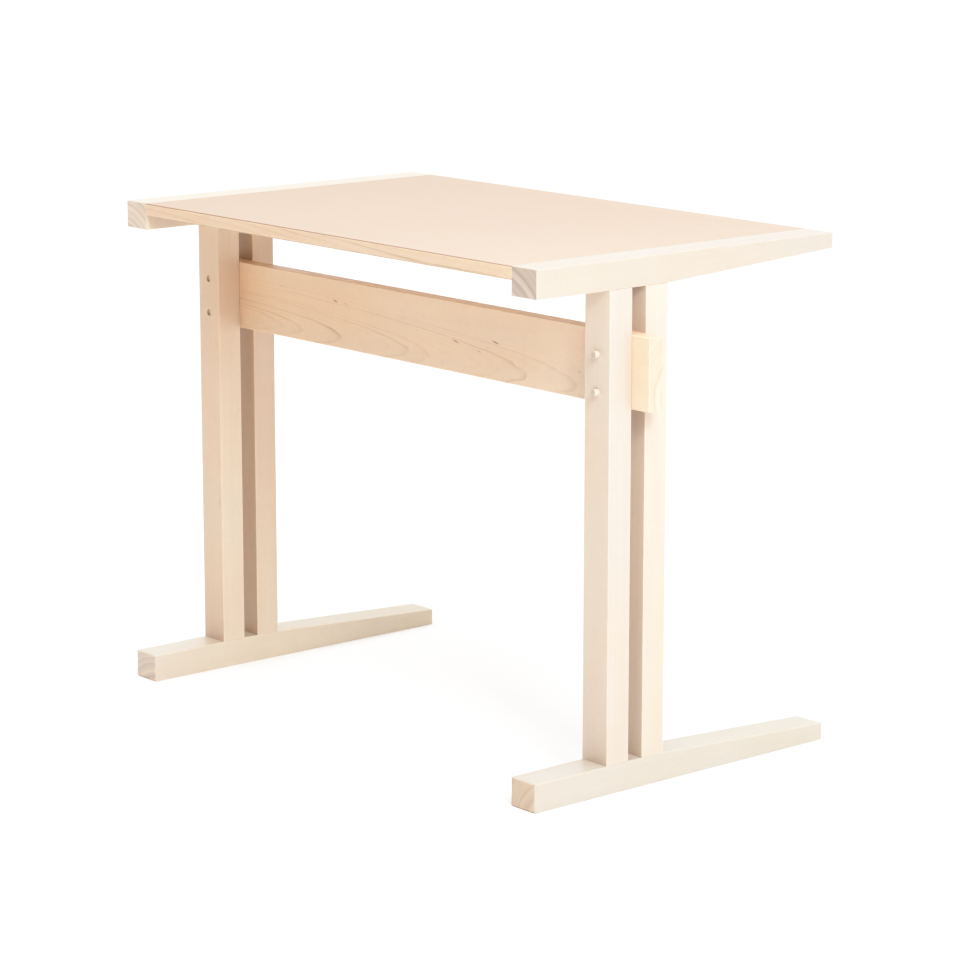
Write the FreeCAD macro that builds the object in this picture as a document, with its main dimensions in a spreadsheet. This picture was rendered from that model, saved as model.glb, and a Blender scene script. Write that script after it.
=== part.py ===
"""Shaker sewing desk: a knock-down trestle desk of maple. Lengths are in millimetres.

Two end trestles stand on long feet. Each trestle has a front and a rear upright with an open slot
between them, tenoned into the foot below and into a batten above. A beam on edge runs through both
slots, and two push-fit pins a side hold it there. The veneered top lies between the two battens on
hidden splines.

+Z is up, X runs along the beam and Y goes from the pins' side to the sitter's side. The origin lies
on the floor under the middle of the desk.
"""

import FreeCAD, Part
import os
import re
import Sketcher

SIZES = {
    # Whole desk
    "height": 737,
    "length": 930,
    "depth": 552,
    "member_width": 50,
    # Feet
    "foot_height": 41,
    "foot_tip": 25,
    "foot_end_round": 3,
    # Battens that hold the top
    "batten_height": 40,
    "batten_tip": 22,
    # Uprights
    "front_reach": 130,
    "upright_depth": 40,
    # Tenons of the uprights, and the wood left beside and beyond their mortises
    "side_shoulder": 12,
    "face_shoulder": 7,
    "mortise_floor": 12,
    "mortise_web": 2.5,
    "mortise_gap": 1,
    # Beam
    "beam_thickness": 25,
    "beam_clearance": 0.2,
    "beam_height": 101,
    "beam_drop": 64,
    "beam_reach": 34,
    # Pins
    "pin_diameter": 10,
    "pin_clearance": 0.05,
    "pin_spacing": 52,
    "pin_shortfall": 1.4,
    "pin_proud": 7,
    "pin_sunk": 3,
    "pin_end_round": 0.8,
    # Top
    "panel_thickness": 19,
    "veneer": 1.5,
    "lipping": 8,
    # Splines between the top and the battens
    "spline_thickness": 6,
    "spline_width": 22,
    "spline_stop": 26,
    "spline_gap": 0.5,
    # Eased edges
    "arris": 1,
}

# Sizes that follow from the ones in the sheet
SLOT = "(beam_thickness + 2 * beam_clearance)"
THROUGH = f"(2 * upright_depth + {SLOT})"
LEG_BACK = f"(front_reach + {THROUGH})"
TRESTLE_OFFSET = "(length - member_width) / 2"
SPAN = "(length - 2 * member_width)"
UPRIGHT_LENGTH = "(height - batten_height - foot_height)"
TENON_HALF_WIDTH = "(member_width / 2 - side_shoulder)"
TENON_HALF_DEPTH = "(upright_depth / 2 - face_shoulder)"
FOOT_MORTISE = "(foot_height - mortise_floor)"
BATTEN_MORTISE = "(batten_height - (panel_thickness + spline_thickness) / 2 - mortise_web)"
BEAM_BASE = "(height - batten_height - beam_drop - beam_height)"
BEAM_CENTRE = f"({BEAM_BASE} + beam_height / 2)"
CORE_THICKNESS = "(panel_thickness - 2 * veneer)"
GROOVE_DEPTH = "(spline_width / 2 + spline_gap)"

# Along X: the left trestle lies at -X, the right one at +X
SIDES = {"left": -1, "right": 1}

# Y of each upright's middle, from the front end of the foot
UPRIGHT_MIDDLES = {
    "front": "(front_reach + upright_depth / 2)",
    "rear": f"({LEG_BACK} - upright_depth / 2)",
}

# Z of each pin's axis
PIN_LEVELS = {
    "upper": f"({BEAM_CENTRE} + pin_spacing / 2)",
    "lower": f"({BEAM_CENTRE} - pin_spacing / 2)",
}

# Y of each side's pin heads, from the front face of the front uprights
PIN_HEADS = {
    "left": "pin_sunk",
    "right": "-pin_proud",
}

NEAR = 1e-6


def bound(words):
    """Writes an expression in the sheet's names as one that any object can hold."""
    names = "|".join(SIZES)
    return re.sub(rf"\b({names})\b", r"sizes.\1", words)


def value(words):
    """Works out an expression in the sheet's names."""
    result = sheet.evalExpression(words)
    return float(getattr(result, "Value", result))


def make_sheet():
    """Puts each driving size in a cell with its name as alias."""
    table = doc.addObject("Spreadsheet::Sheet", "sizes")
    for row, (name, size) in enumerate(SIZES.items(), 1):
        table.set(f"A{row}", name)
        table.set(f"B{row}", str(size))
        table.setAlias(f"B{row}", name)
    doc.recompute()
    return table


def make_body(name, x, y, z):
    """Starts a sub-part with its place bound to the sheet."""
    body = doc.addObject("PartDesign::Body", name)
    body.Label = name
    for axis, words in zip("xyz", (x, y, z)):
        body.setExpression(f"Placement.Base.{axis}", bound(words))
    return body


def add_sketch(body, name, role, offset="0"):
    """Adds a sketch on one of the body's own origin planes, moved along the plane's normal."""
    plane = next(item for item in body.Origin.OriginFeatures if item.Role == role)
    sketch = body.newObject("Sketcher::SketchObject", f"{body.Name}_{name}")
    sketch.AttachmentSupport = [(plane, "")]
    sketch.MapMode = "FlatFace"
    sketch.setExpression("AttachmentOffset.Base.z", bound(offset))
    return sketch


def pin_down(sketch, geometry, point, x, y):
    """Fixes a point of a sketch at a place bound to the sheet."""
    for kind, words, axis in (("DistanceX", x, -2), ("DistanceY", y, -1)):
        if words == "0":
            sketch.addConstraint(Sketcher.Constraint("PointOnObject", geometry, point, axis))
            continue
        rule = Sketcher.Constraint(kind, -1, 1, geometry, point, value(words))
        number = sketch.addConstraint(rule)
        sketch.setExpression(f"Constraints[{number}]", bound(words))


def draw_outline(sketch, corners):
    """Draws a closed outline through corners given as pairs of expressions."""
    spots = [FreeCAD.Vector(value(x), value(y), 0) for x, y in corners]
    lines = []
    for spot, following in zip(spots, spots[1:] + spots[:1]):
        lines.append(sketch.addGeometry(Part.LineSegment(spot, following)))
    for line, following in zip(lines, lines[1:] + lines[:1]):
        sketch.addConstraint(Sketcher.Constraint("Coincident", line, 2, following, 1))
    for line, (x, y) in zip(lines, corners):
        pin_down(sketch, line, 1, x, y)


def draw_rectangle(sketch, x_ends, y_ends):
    """Draws a rectangle between two ends along each axis of the sketch."""
    low_x, high_x = x_ends
    low_y, high_y = y_ends
    draw_outline(sketch, [(low_x, low_y), (high_x, low_y), (high_x, high_y), (low_x, high_y)])


def draw_circle(sketch, x, y, diameter):
    """Draws a circle whose centre and diameter are bound to the sheet."""
    centre = FreeCAD.Vector(value(x), value(y), 0)
    shape = Part.Circle(centre, FreeCAD.Vector(0, 0, 1), value(diameter) / 2)
    circle = sketch.addGeometry(shape)
    pin_down(sketch, circle, 3, x, y)
    number = sketch.addConstraint(Sketcher.Constraint("Diameter", circle, value(diameter)))
    sketch.setExpression(f"Constraints[{number}]", bound(diameter))


def add_feature(body, kind, sketch, name, length, both_ways=False, backwards=False):
    """Pads or pockets a sketch by a length bound to the sheet."""
    feature = body.newObject(f"PartDesign::{kind}", f"{body.Name}_{name}")
    feature.Profile = sketch
    feature.SideType = "Symmetric" if both_ways else "One side"
    feature.Reversed = backwards
    feature.setExpression("Length", bound(length))
    sketch.Visibility = False
    doc.recompute()
    return feature


def ease_edges(body, name, radius, wanted):
    """Rounds the edges of the body's last feature that a test picks by their two ends."""
    base = body.Tip
    names = []
    for number, edge in enumerate(base.Shape.Edges, 1):
        ends = [vertex.Point for vertex in edge.Vertexes]
        if wanted(ends[0], ends[-1]):
            names.append(f"Edge{number}")
    fillet = body.newObject("PartDesign::Fillet", f"{body.Name}_{name}")
    fillet.Base = (base, names)
    fillet.setExpression("Radius", bound(radius))
    doc.recompute()
    return fillet


def is_near(first, second):
    """Tells whether two coordinates are the same."""
    return abs(first - second) < NEAR


def make_block(name, place, half_x, y_length, z_length):
    """Makes a plain board: centred along X, its front lower edge at the given place."""
    body = make_body(name, *place)
    sketch = add_sketch(body, "section", "YZ_Plane")
    draw_rectangle(sketch, ("0", y_length), ("0", z_length))
    add_feature(body, "Pad", sketch, "board", f"2 * {half_x}", both_ways=True)
    return body


def make_foot(side):
    """Makes a foot: full height under the uprights, then a taper on top to its rear tip."""
    offset = f"{SIDES[side]} * {TRESTLE_OFFSET}"
    body = make_body(f"foot_{side}", offset, "-depth / 2", "0")
    profile = add_sketch(body, "profile", "YZ_Plane")
    corners = [
        ("0", "0"),
        ("depth", "0"),
        ("depth", "foot_tip"),
        (LEG_BACK, "foot_height"),
        ("0", "foot_height"),
    ]
    draw_outline(profile, corners)
    add_feature(body, "Pad", profile, "stock", "member_width", both_ways=True)
    last = value("depth")

    def at_an_end(start, end):
        return is_near(start.y, end.y) and (is_near(start.y, 0) or is_near(start.y, last))

    ease_edges(body, "end_rounding", "foot_end_round", at_an_end)
    side = value("member_width / 2")

    def along_a_side(start, end):
        return is_near(abs(start.x), side) and is_near(start.x, end.x) and abs(start.y - end.y) > side

    ease_edges(body, "arrises", "arris", along_a_side)
    mortises = add_sketch(body, "mortise_outline", "XY_Plane", "foot_height")
    for middle in UPRIGHT_MIDDLES.values():
        draw_tenon_outline(mortises, middle)
    add_feature(body, "Pocket", mortises, "mortises", FOOT_MORTISE)
    return body


def draw_tenon_outline(sketch, middle):
    """Draws the section of a tenon or mortise, centred along X and at a middle along Y."""
    x_ends = (f"-{TENON_HALF_WIDTH}", TENON_HALF_WIDTH)
    y_ends = (f"{middle} - {TENON_HALF_DEPTH}", f"{middle} + {TENON_HALF_DEPTH}")
    draw_rectangle(sketch, x_ends, y_ends)


def make_upright(row, side):
    """Makes an upright with a stub tenon at each end and the two bores for its pins."""
    offset = f"{SIDES[side]} * {TRESTLE_OFFSET}"
    middle = f"{UPRIGHT_MIDDLES[row]} - depth / 2"
    body = make_body(f"{row}_upright_{side}", offset, middle, "foot_height")
    section = add_sketch(body, "section", "XY_Plane")
    x_ends = ("-member_width / 2", "member_width / 2")
    y_ends = ("-upright_depth / 2", "upright_depth / 2")
    draw_rectangle(section, x_ends, y_ends)
    add_feature(body, "Pad", section, "stock", UPRIGHT_LENGTH)
    ease_edges(body, "arrises", "arris", lambda start, end: not is_near(start.z, end.z))
    lower = add_sketch(body, "lower_tenon_outline", "XY_Plane")
    draw_tenon_outline(lower, "0")
    add_feature(body, "Pad", lower, "lower_tenon", f"{FOOT_MORTISE} - mortise_gap", backwards=True)
    upper = add_sketch(body, "upper_tenon_outline", "XY_Plane", UPRIGHT_LENGTH)
    draw_tenon_outline(upper, "0")
    add_feature(body, "Pad", upper, "upper_tenon", f"{BATTEN_MORTISE} - mortise_gap")
    bores = add_sketch(body, "bore_circles", "XZ_Plane")
    for level in PIN_LEVELS.values():
        draw_circle(bores, "0", f"{level} - foot_height", "pin_diameter + 2 * pin_clearance")
    add_feature(body, "Pocket", bores, "pin_bores", "upright_depth", both_ways=True)
    return body


def make_batten(side):
    """Makes a batten: full height over the uprights, then a taper beneath to its rear tip."""
    sign = SIDES[side]
    base = "height - batten_height"
    body = make_body(f"batten_{side}", f"{sign} * {TRESTLE_OFFSET}", "-depth / 2", base)
    profile = add_sketch(body, "profile", "YZ_Plane")
    corners = [
        ("0", "0"),
        (LEG_BACK, "0"),
        ("depth", "batten_height - batten_tip"),
        ("depth", "batten_height"),
        ("0", "batten_height"),
    ]
    draw_outline(profile, corners)
    add_feature(body, "Pad", profile, "stock", "member_width", both_ways=True)
    inner = -sign * value("member_width / 2")
    top = value("batten_height")

    def stands_clear_of_top(start, end):
        if not (is_near(start.x, inner) and is_near(end.x, inner)):
            return True
        return not is_near(start.y, end.y) and not is_near(start.z, top)

    ease_edges(body, "arrises", "arris", stands_clear_of_top)
    mortises = add_sketch(body, "mortise_outline", "XY_Plane")
    for middle in UPRIGHT_MIDDLES.values():
        draw_tenon_outline(mortises, middle)
    add_feature(body, "Pocket", mortises, "mortises", BATTEN_MORTISE, backwards=True)
    groove = add_sketch(body, "groove_outline", "YZ_Plane", f"{-sign} * member_width / 2")
    y_ends = ("spline_stop", "depth - spline_stop")
    middle = "batten_height - panel_thickness / 2"
    z_ends = (f"{middle} - spline_thickness / 2", f"{middle} + spline_thickness / 2")
    draw_rectangle(groove, y_ends, z_ends)
    add_feature(body, "Pocket", groove, "spline_groove", GROOVE_DEPTH, backwards=sign > 0)
    return body


def make_beam():
    """Makes the beam that runs on edge through both slots, with its four pin bores."""
    middle = f"front_reach + upright_depth + {SLOT} / 2 - depth / 2"
    body = make_body("beam", "0", middle, BEAM_BASE)
    section = add_sketch(body, "section", "YZ_Plane")
    draw_rectangle(section, ("-beam_thickness / 2", "beam_thickness / 2"), ("0", "beam_height"))
    add_feature(body, "Pad", section, "board", "length + 2 * beam_reach", both_ways=True)
    ease_edges(body, "arrises", "arris", lambda start, end: True)
    bores = add_sketch(body, "bore_circles", "XZ_Plane")
    for sign in SIDES.values():
        for level in PIN_LEVELS.values():
            x = f"{sign} * {TRESTLE_OFFSET}"
            draw_circle(bores, x, f"{level} - {BEAM_BASE}", "pin_diameter + 2 * pin_clearance")
    add_feature(body, "Pocket", bores, "pin_bores", "beam_thickness", both_ways=True)
    return body


def make_pin(level, side):
    """Makes a round pin that lies along Y, its head at the body's own origin."""
    head = f"front_reach + {PIN_HEADS[side]} - depth / 2"
    offset = f"{SIDES[side]} * {TRESTLE_OFFSET}"
    body = make_body(f"pin_{level}_{side}", offset, head, PIN_LEVELS[level])
    section = add_sketch(body, "section", "XZ_Plane")
    draw_circle(section, "0", "0", "pin_diameter")
    length = f"{THROUGH} - pin_shortfall"
    add_feature(body, "Pad", section, "rod", length, backwards=True)
    ease_edges(body, "rounded_ends", "pin_end_round", lambda start, end: is_near(start.y, end.y))
    return body


def make_core():
    """Makes the top's core board, with a stopped groove for a spline in each end."""
    place = ("0", "lipping - depth / 2", "height - panel_thickness + veneer")
    depth = "depth - 2 * lipping"
    body = make_block("top_core", place, f"{SPAN} / 2", depth, CORE_THICKNESS)
    for name, sign in SIDES.items():
        groove = add_sketch(body, f"{name}_groove_outline", "YZ_Plane", f"{sign} * {SPAN} / 2")
        y_ends = ("spline_stop - lipping", "depth - spline_stop - lipping")
        middle = f"{CORE_THICKNESS} / 2"
        z_ends = (f"{middle} - spline_thickness / 2", f"{middle} + spline_thickness / 2")
        draw_rectangle(groove, y_ends, z_ends)
        add_feature(body, "Pocket", groove, f"{name}_groove", GROOVE_DEPTH, backwards=sign < 0)
    return body


def make_lipping(row):
    """Makes the solid strip along the front or rear edge of the core."""
    y = {"front": "-depth / 2", "rear": "depth / 2 - lipping"}[row]
    place = ("0", y, "height - panel_thickness + veneer")
    return make_block(f"{row}_lipping", place, f"{SPAN} / 2", "lipping", CORE_THICKNESS)


def make_veneer(name, base, is_outside):
    """Makes a face sheet of the top and eases its two long outside edges."""
    body = make_block(name, ("0", "-depth / 2", base), f"{SPAN} / 2", "depth", "veneer")
    outside = value("veneer") if is_outside else 0

    def along_outside(start, end):
        return is_near(start.y, end.y) and is_near(start.z, outside) and is_near(end.z, outside)

    ease_edges(body, "arrises", "arris", along_outside)
    return body


def make_spline(side):
    """Makes the loose tongue that joins one end of the core to its batten."""
    offset = f"{SIDES[side]} * {SPAN} / 2"
    front = "spline_stop + spline_gap - depth / 2"
    base = "height - (panel_thickness + spline_thickness) / 2"
    long_way = "depth - 2 * (spline_stop + spline_gap)"
    place = (offset, front, base)
    return make_block(f"spline_{side}", place, "spline_width / 2", long_way, "spline_thickness")


def make_desk():
    """Makes every sub-part and lists them."""
    bodies = [make_beam(), make_core()]
    for side in SIDES:
        bodies.append(make_foot(side))
        bodies.append(make_batten(side))
        bodies.append(make_spline(side))
        for row in UPRIGHT_MIDDLES:
            bodies.append(make_upright(row, side))
        for level in PIN_LEVELS:
            bodies.append(make_pin(level, side))
    for row in UPRIGHT_MIDDLES:
        bodies.append(make_lipping(row))
    bodies.append(make_veneer("top_face_veneer", "height - veneer", True))
    bodies.append(make_veneer("top_backing_veneer", "height - panel_thickness", False))
    return bodies


def check(bodies):
    """Stops if a feature failed, a pocket took nothing away or a sub-part isn't one sound solid."""
    for item in doc.Objects:
        if "Invalid" in item.State or "Error" in item.State:
            raise RuntimeError(f"{item.Name} didn't build: {item.State}")
        if item.isDerivedFrom("PartDesign::Pocket"):
            if item.Shape.Volume >= item.BaseFeature.Shape.Volume:
                raise RuntimeError(f"{item.Name} cut nothing")
    for body in bodies:
        if body.Shape.isNull() or not body.Shape.isValid() or len(body.Shape.Solids) != 1:
            raise RuntimeError(f"{body.Label} isn't one sound solid")


doc = FreeCAD.newDocument("sewing_desk")
sheet = make_sheet()
desk = make_desk()
doc.recompute()
check(desk)
os.makedirs("parts", exist_ok=True)
for body in desk:
    body.Shape.exportStep(f"parts/{body.Label}.step")
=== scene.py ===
"""Looks of the shaker sewing desk: maple trestles, a beam on edge, a veneered top and loose pins.

Lengths are in metres, in the desk's own frame: +Z is up, X runs along the beam, Y goes from the
pins' side to the sitter's side, and the origin lies on the floor under the middle. Each finish is
a pattern in space, so that rings, fibres and pores run through a board and come out at its ends.
"""

import logging
import math
from dataclasses import dataclass
from enum import Enum
from typing import Optional, Union

import bpy
from mathutils import Euler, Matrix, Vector


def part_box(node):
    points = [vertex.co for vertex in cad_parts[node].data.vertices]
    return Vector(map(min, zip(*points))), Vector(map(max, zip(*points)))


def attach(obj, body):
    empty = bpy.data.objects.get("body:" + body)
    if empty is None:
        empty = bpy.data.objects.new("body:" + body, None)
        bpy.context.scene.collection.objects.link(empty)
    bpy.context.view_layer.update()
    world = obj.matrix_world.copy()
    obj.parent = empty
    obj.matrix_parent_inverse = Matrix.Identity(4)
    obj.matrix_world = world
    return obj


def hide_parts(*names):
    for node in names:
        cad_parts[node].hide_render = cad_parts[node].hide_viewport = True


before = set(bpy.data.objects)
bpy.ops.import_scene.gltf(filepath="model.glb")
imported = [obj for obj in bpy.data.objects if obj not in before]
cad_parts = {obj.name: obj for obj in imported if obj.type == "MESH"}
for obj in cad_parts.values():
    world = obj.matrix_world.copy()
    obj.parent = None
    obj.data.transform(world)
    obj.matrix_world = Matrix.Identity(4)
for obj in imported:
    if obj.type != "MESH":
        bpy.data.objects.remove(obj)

LOG = logging.getLogger("sewing_desk")

Number = Union[float, "Signal"]
Triple = tuple[float, float, float]
Socket = bpy.types.NodeSocket
Piece = bpy.types.Object

UNTINTED: Triple = (1.0, 1.0, 1.0)

# How fine each part of maple's figure is: waves per metre along the tree's heart and across it
FIBRES: Triple = (14.0, 650.0, 650.0)
BANDS: Triple = (1.8, 55.0, 55.0)
CLOUDS: Triple = (5.0, 11.0, 11.0)
CURL: Triple = (42.0, 14.0, 14.0)
PORES: Triple = (95.0, 1500.0, 1500.0)
DRIFT: Triple = (4.5, 16.0, 16.0)
WANDER: Triple = (1.3, 9.0, 9.0)
RIPPLE: Triple = (9.0, 60.0, 60.0)
CLEARNESS: Triple = (7.0, 45.0, 45.0)
RUB: Triple = (30.0, 30.0, 30.0)
SPELLS_PER_METRE = 24.0

# The same for sliced veneer and for plywood, along X, Y and Z
VENEER_WANDER: Triple = (1.6, 7.0, 7.0)
VENEER_FIBRES: Triple = (12.0, 700.0, 700.0)
VENEER_BANDS: Triple = (1.4, 42.0, 42.0)
VENEER_CLOUDS: Triple = (3.0, 6.0, 6.0)
VENEER_PORES: Triple = (110.0, 1600.0, 1600.0)
VENEER_PLIES: Triple = (14.0, 200.0, 2500.0)
PLYWOOD_WANDER: Triple = (6.0, 6.0, 6.0)
PLYWOOD_FIBRES: Triple = (60.0, 60.0, 900.0)
PLYWOOD_GAPS: Triple = (140.0, 140.0, 500.0)

# Varnished wood's index of refraction, and the middle of the desk, which the lights look at
VARNISH_IOR = 1.46
DESK_MIDDLE = Vector((0.0, 0.0, 0.4))


class Side(Enum):
    """An end of the desk, seen from the pins' side."""

    LEFT = "left"
    RIGHT = "right"


class Way(Enum):
    """The direction in which a board's grain runs."""

    ALONG_X = (1.0, 0.0, 0.0)
    ALONG_Y = (0.0, 1.0, 0.0)
    ALONG_Z = (0.0, 0.0, 1.0)

    def turn(self, lean: tuple[float, float]) -> Triple:
        """Turns the desk's frame so that its first axis follows the tree's heart.

        Args:
            lean: Degrees by which the heart leans sideways from the board's length.

        Returns:
            The turn as three angles in radians.
        """
        along = Vector((1.0, 0.0, 0.0)).rotation_difference(Vector(self.value)).to_matrix()
        tilt = Euler((0.0, math.radians(lean[1]), math.radians(lean[0]))).to_matrix()
        return tuple((along @ tilt).to_euler())


@dataclass(frozen=True)
class Signal:
    """A number that changes from place to place, worked on with Python's own operators."""

    sheet: "NodeSheet"
    socket: Socket

    def __add__(self, other: Number) -> "Signal":
        """Adds a number on the right."""
        return self.sheet.maths("ADD", self, other)

    def __radd__(self, other: Number) -> "Signal":
        """Adds a number on the left."""
        return self.sheet.maths("ADD", other, self)

    def __sub__(self, other: Number) -> "Signal":
        """Takes a number away."""
        return self.sheet.maths("SUBTRACT", self, other)

    def __rsub__(self, other: Number) -> "Signal":
        """Is taken away from a number."""
        return self.sheet.maths("SUBTRACT", other, self)

    def __mul__(self, other: Number) -> "Signal":
        """Multiplies by a number on the right."""
        return self.sheet.maths("MULTIPLY", self, other)

    def __rmul__(self, other: Number) -> "Signal":
        """Multiplies by a number on the left."""
        return self.sheet.maths("MULTIPLY", other, self)

    def __truediv__(self, other: Number) -> "Signal":
        """Divides by a number."""
        return self.sheet.maths("DIVIDE", self, other)

    def __abs__(self) -> "Signal":
        """Drops the sign."""
        return self.sheet.maths("ABSOLUTE", self)

    def root(self) -> "Signal":
        """Takes the square root."""
        return self.sheet.maths("SQRT", self)

    def whole(self) -> "Signal":
        """Rounds down to a whole number."""
        return self.sheet.maths("FLOOR", self)

    def part(self) -> "Signal":
        """Keeps what is past the whole number."""
        return self.sheet.maths("FRACT", self)

    def least(self, other: Number) -> "Signal":
        """Takes the smaller of two numbers."""
        return self.sheet.maths("MINIMUM", self, other)

    def most(self, other: Number) -> "Signal":
        """Takes the larger of two numbers."""
        return self.sheet.maths("MAXIMUM", self, other)

    def rise(self, start: float, end: float) -> "Signal":
        """Goes smoothly from 0 to 1 while this number goes from start to end, either way."""
        node = self.sheet.add(
            "ShaderNodeMapRange",
            {"interpolation_type": "SMOOTHSTEP"},
            {"Value": self, "From Min": start, "From Max": end},
        )
        return Signal(self.sheet, node.outputs["Result"])


class NodeSheet:
    """A tree of nodes under construction, for a finish or for a shape."""

    def __init__(self, tree: bpy.types.NodeTree) -> None:
        """Starts on an empty tree."""
        self.tree = tree
        self.tree.nodes.clear()

    def add(
        self, kind: str, settings: Optional[dict] = None, inputs: Optional[dict] = None
    ) -> bpy.types.Node:
        """Adds any node: its settings first, then its sockets.

        Args:
            kind: The node's type.
            settings: Properties by name; "stops" gives a ramp its places and colours.
            inputs: Values, sockets or signals by socket name or number.

        Returns:
            The new node.
        """
        node = self.tree.nodes.new(kind)
        for name, setting in (settings or {}).items():
            if name == "stops":
                self._fill_ramp(node.color_ramp, setting)
            else:
                setattr(node, name, setting)
        for key, given in (inputs or {}).items():
            source = given.socket if isinstance(given, Signal) else given
            if isinstance(source, Socket):
                self.tree.links.new(source, node.inputs[key])
            else:
                node.inputs[key].default_value = source
        return node

    @staticmethod
    def _fill_ramp(ramp: bpy.types.ColorRamp, stops: list[tuple[float, Triple]]) -> None:
        """Gives a ramp its stops, with a sharp step at each.

        Args:
            ramp: The ramp, with its two first stops.
            stops: Places from 0 to 1 with their colours, at least two.
        """
        ramp.interpolation = "CONSTANT"
        while len(ramp.elements) < len(stops):
            ramp.elements.new(1.0)
        for element, (place, colour) in zip(ramp.elements, stops):
            element.position = place
            element.color = (*colour, 1.0)

    def maths(self, operation: str, first: Number, second: Number = 0.0) -> Signal:
        """Adds a Math node and gives its result."""
        node = self.add("ShaderNodeMath", {"operation": operation}, {0: first, 1: second})
        return Signal(self, node.outputs["Value"])

    def blend(self, share: Number, first: object, second: object, kind: str = "MIX") -> Socket:
        """Mixes two colours.

        Args:
            share: How much of the second colour, from 0 to 1.
            first: A colour or its socket.
            second: A colour or its socket.
            kind: How the second is laid over the first.

        Returns:
            The mixed colour's socket.
        """
        sides = [(*side, 1.0) if isinstance(side, tuple) else side for side in (first, second)]
        node = self.add(
            "ShaderNodeMix",
            {"data_type": "RGBA", "blend_type": kind},
            {0: share, 6: sides[0], 7: sides[1]},
        )
        return node.outputs[2]

    def scaled(self, colour: Socket, factor: Signal) -> Socket:
        """Multiplies a colour or a direction by a number."""
        node = self.add("ShaderNodeVectorMath", {"operation": "SCALE"}, {0: colour, "Scale": factor})
        return node.outputs["Vector"]

    def bump(self, strength: float, distance: float, height: Signal) -> Socket:
        """Turns small heights into the way the surface faces."""
        inputs = {"Strength": strength, "Distance": distance, "Height": height}
        return self.add("ShaderNodeBump", inputs=inputs).outputs["Normal"]

    def chance(self, number: Signal) -> Signal:
        """Gives each number its own chance value from 0 to 1."""
        node = self.add("ShaderNodeTexWhiteNoise", {"noise_dimensions": "1D"}, {"W": number})
        return Signal(self, node.outputs["Value"])

    def split(self, vector: Socket) -> tuple[Signal, Signal, Signal]:
        """Takes a vector apart into its three numbers."""
        node = self.add("ShaderNodeSeparateXYZ", inputs={"Vector": vector})
        return tuple(Signal(self, output) for output in node.outputs)

    def noise(self, place: Socket, fineness: Triple, seed: float, detail: float = 2.0) -> Signal:
        """Adds soft noise that is stretched differently along each axis.

        Args:
            place: The socket of the place in space.
            fineness: Waves per metre along each axis.
            seed: Moves the pattern, so that no two boards are alike.
            detail: How many finer layers are added.

        Returns:
            The noise, mostly from 0.2 to 0.8 and 0.5 on average.
        """
        stretched = self.add(
            "ShaderNodeMapping",
            {"vector_type": "POINT"},
            {"Vector": place, "Scale": fineness, "Location": (seed, seed * 1.7, -seed)},
        )
        node = self.add(
            "ShaderNodeTexNoise",
            {"noise_dimensions": "3D"},
            {"Vector": stretched.outputs["Vector"], "Scale": 1.0, "Detail": detail},
        )
        return Signal(self, node.outputs["Fac"])


@dataclass(frozen=True)
class Slope:
    """A taper: a face of the piece that leaves its box from some place along Y."""

    start: float
    fall: float
    is_on_top: bool


@dataclass(frozen=True)
class Streak:
    """A short dark mineral streak in the wood.

    Fields:
        centre: Its middle.
        half_size: Half its size along each axis.
        depth: How dark its middle is.
        slant: Degrees by which it is turned in the board's front face.
    """

    centre: Triple
    half_size: Triple
    depth: float
    slant: float = 0.0


@dataclass(frozen=True)
class Board:
    """How one piece was cut from its tree.

    Fields:
        way: The direction of its grain.
        heart: A point on the line of the tree's heart, in the desk's frame.
        lean: Degrees by which the heart leans from the board's length.
        seed: Where in the endless pattern this board lies.
        tint: What its colour is multiplied by at the low end of its length: its own tone together with
            painted light and shade.
        tip_tint_and_light: The same at the other end, where it differs; it too holds painted light and
            shade, such as darker, warmer tops under the desk's top.
        end_tint: What its end grain is multiplied by on top of that.
        front_painted_light: What its face towards the pins' side is multiplied by: painted light on the
            lit fronts of the front uprights, painted shade on the left rear upright's wall inside the
            slot.
        bands: How strongly good and bad years show on its end grain.
        phase: Shifts its growth rings, as a share of their spacing.
        first_year: Number of the first ring in the list of years.
        years: How dark the rings are from that one on, where it is known.
        streaks: Its mineral streaks.
    """

    way: Way
    heart: Triple
    lean: tuple[float, float]
    seed: float
    tint: Triple = UNTINTED
    tip_tint_and_light: Optional[Triple] = None
    end_tint: Triple = UNTINTED
    front_painted_light: Triple = UNTINTED
    bands: float = 0.55
    phase: float = 0.0
    first_year: int = 0
    years: tuple[float, ...] = ()
    streaks: tuple[Streak, ...] = ()


class FinishSheet(NodeSheet):
    """The node tree of a new material."""

    def __init__(self, name: str) -> None:
        """Makes the material with an empty tree.

        Args:
            name: The material's name.
        """
        self.material = bpy.data.materials.new(name)
        self.material.use_nodes = True
        super().__init__(self.material.node_tree)

    def put_on(self, piece: Piece, looks: dict) -> None:
        """Ends the material with its shader and gives it to a piece.

        Args:
            piece: A node of the frame or a new piece.
            looks: The shader's values, sockets or signals by socket name.
        """
        shader = self.add("ShaderNodeBsdfPrincipled", inputs=looks)
        self.add("ShaderNodeOutputMaterial", inputs={"Surface": shader.outputs["BSDF"]})
        if not piece.material_slots:
            piece.data.materials.append(self.material)
        for slot in piece.material_slots:
            slot.material = self.material


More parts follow.
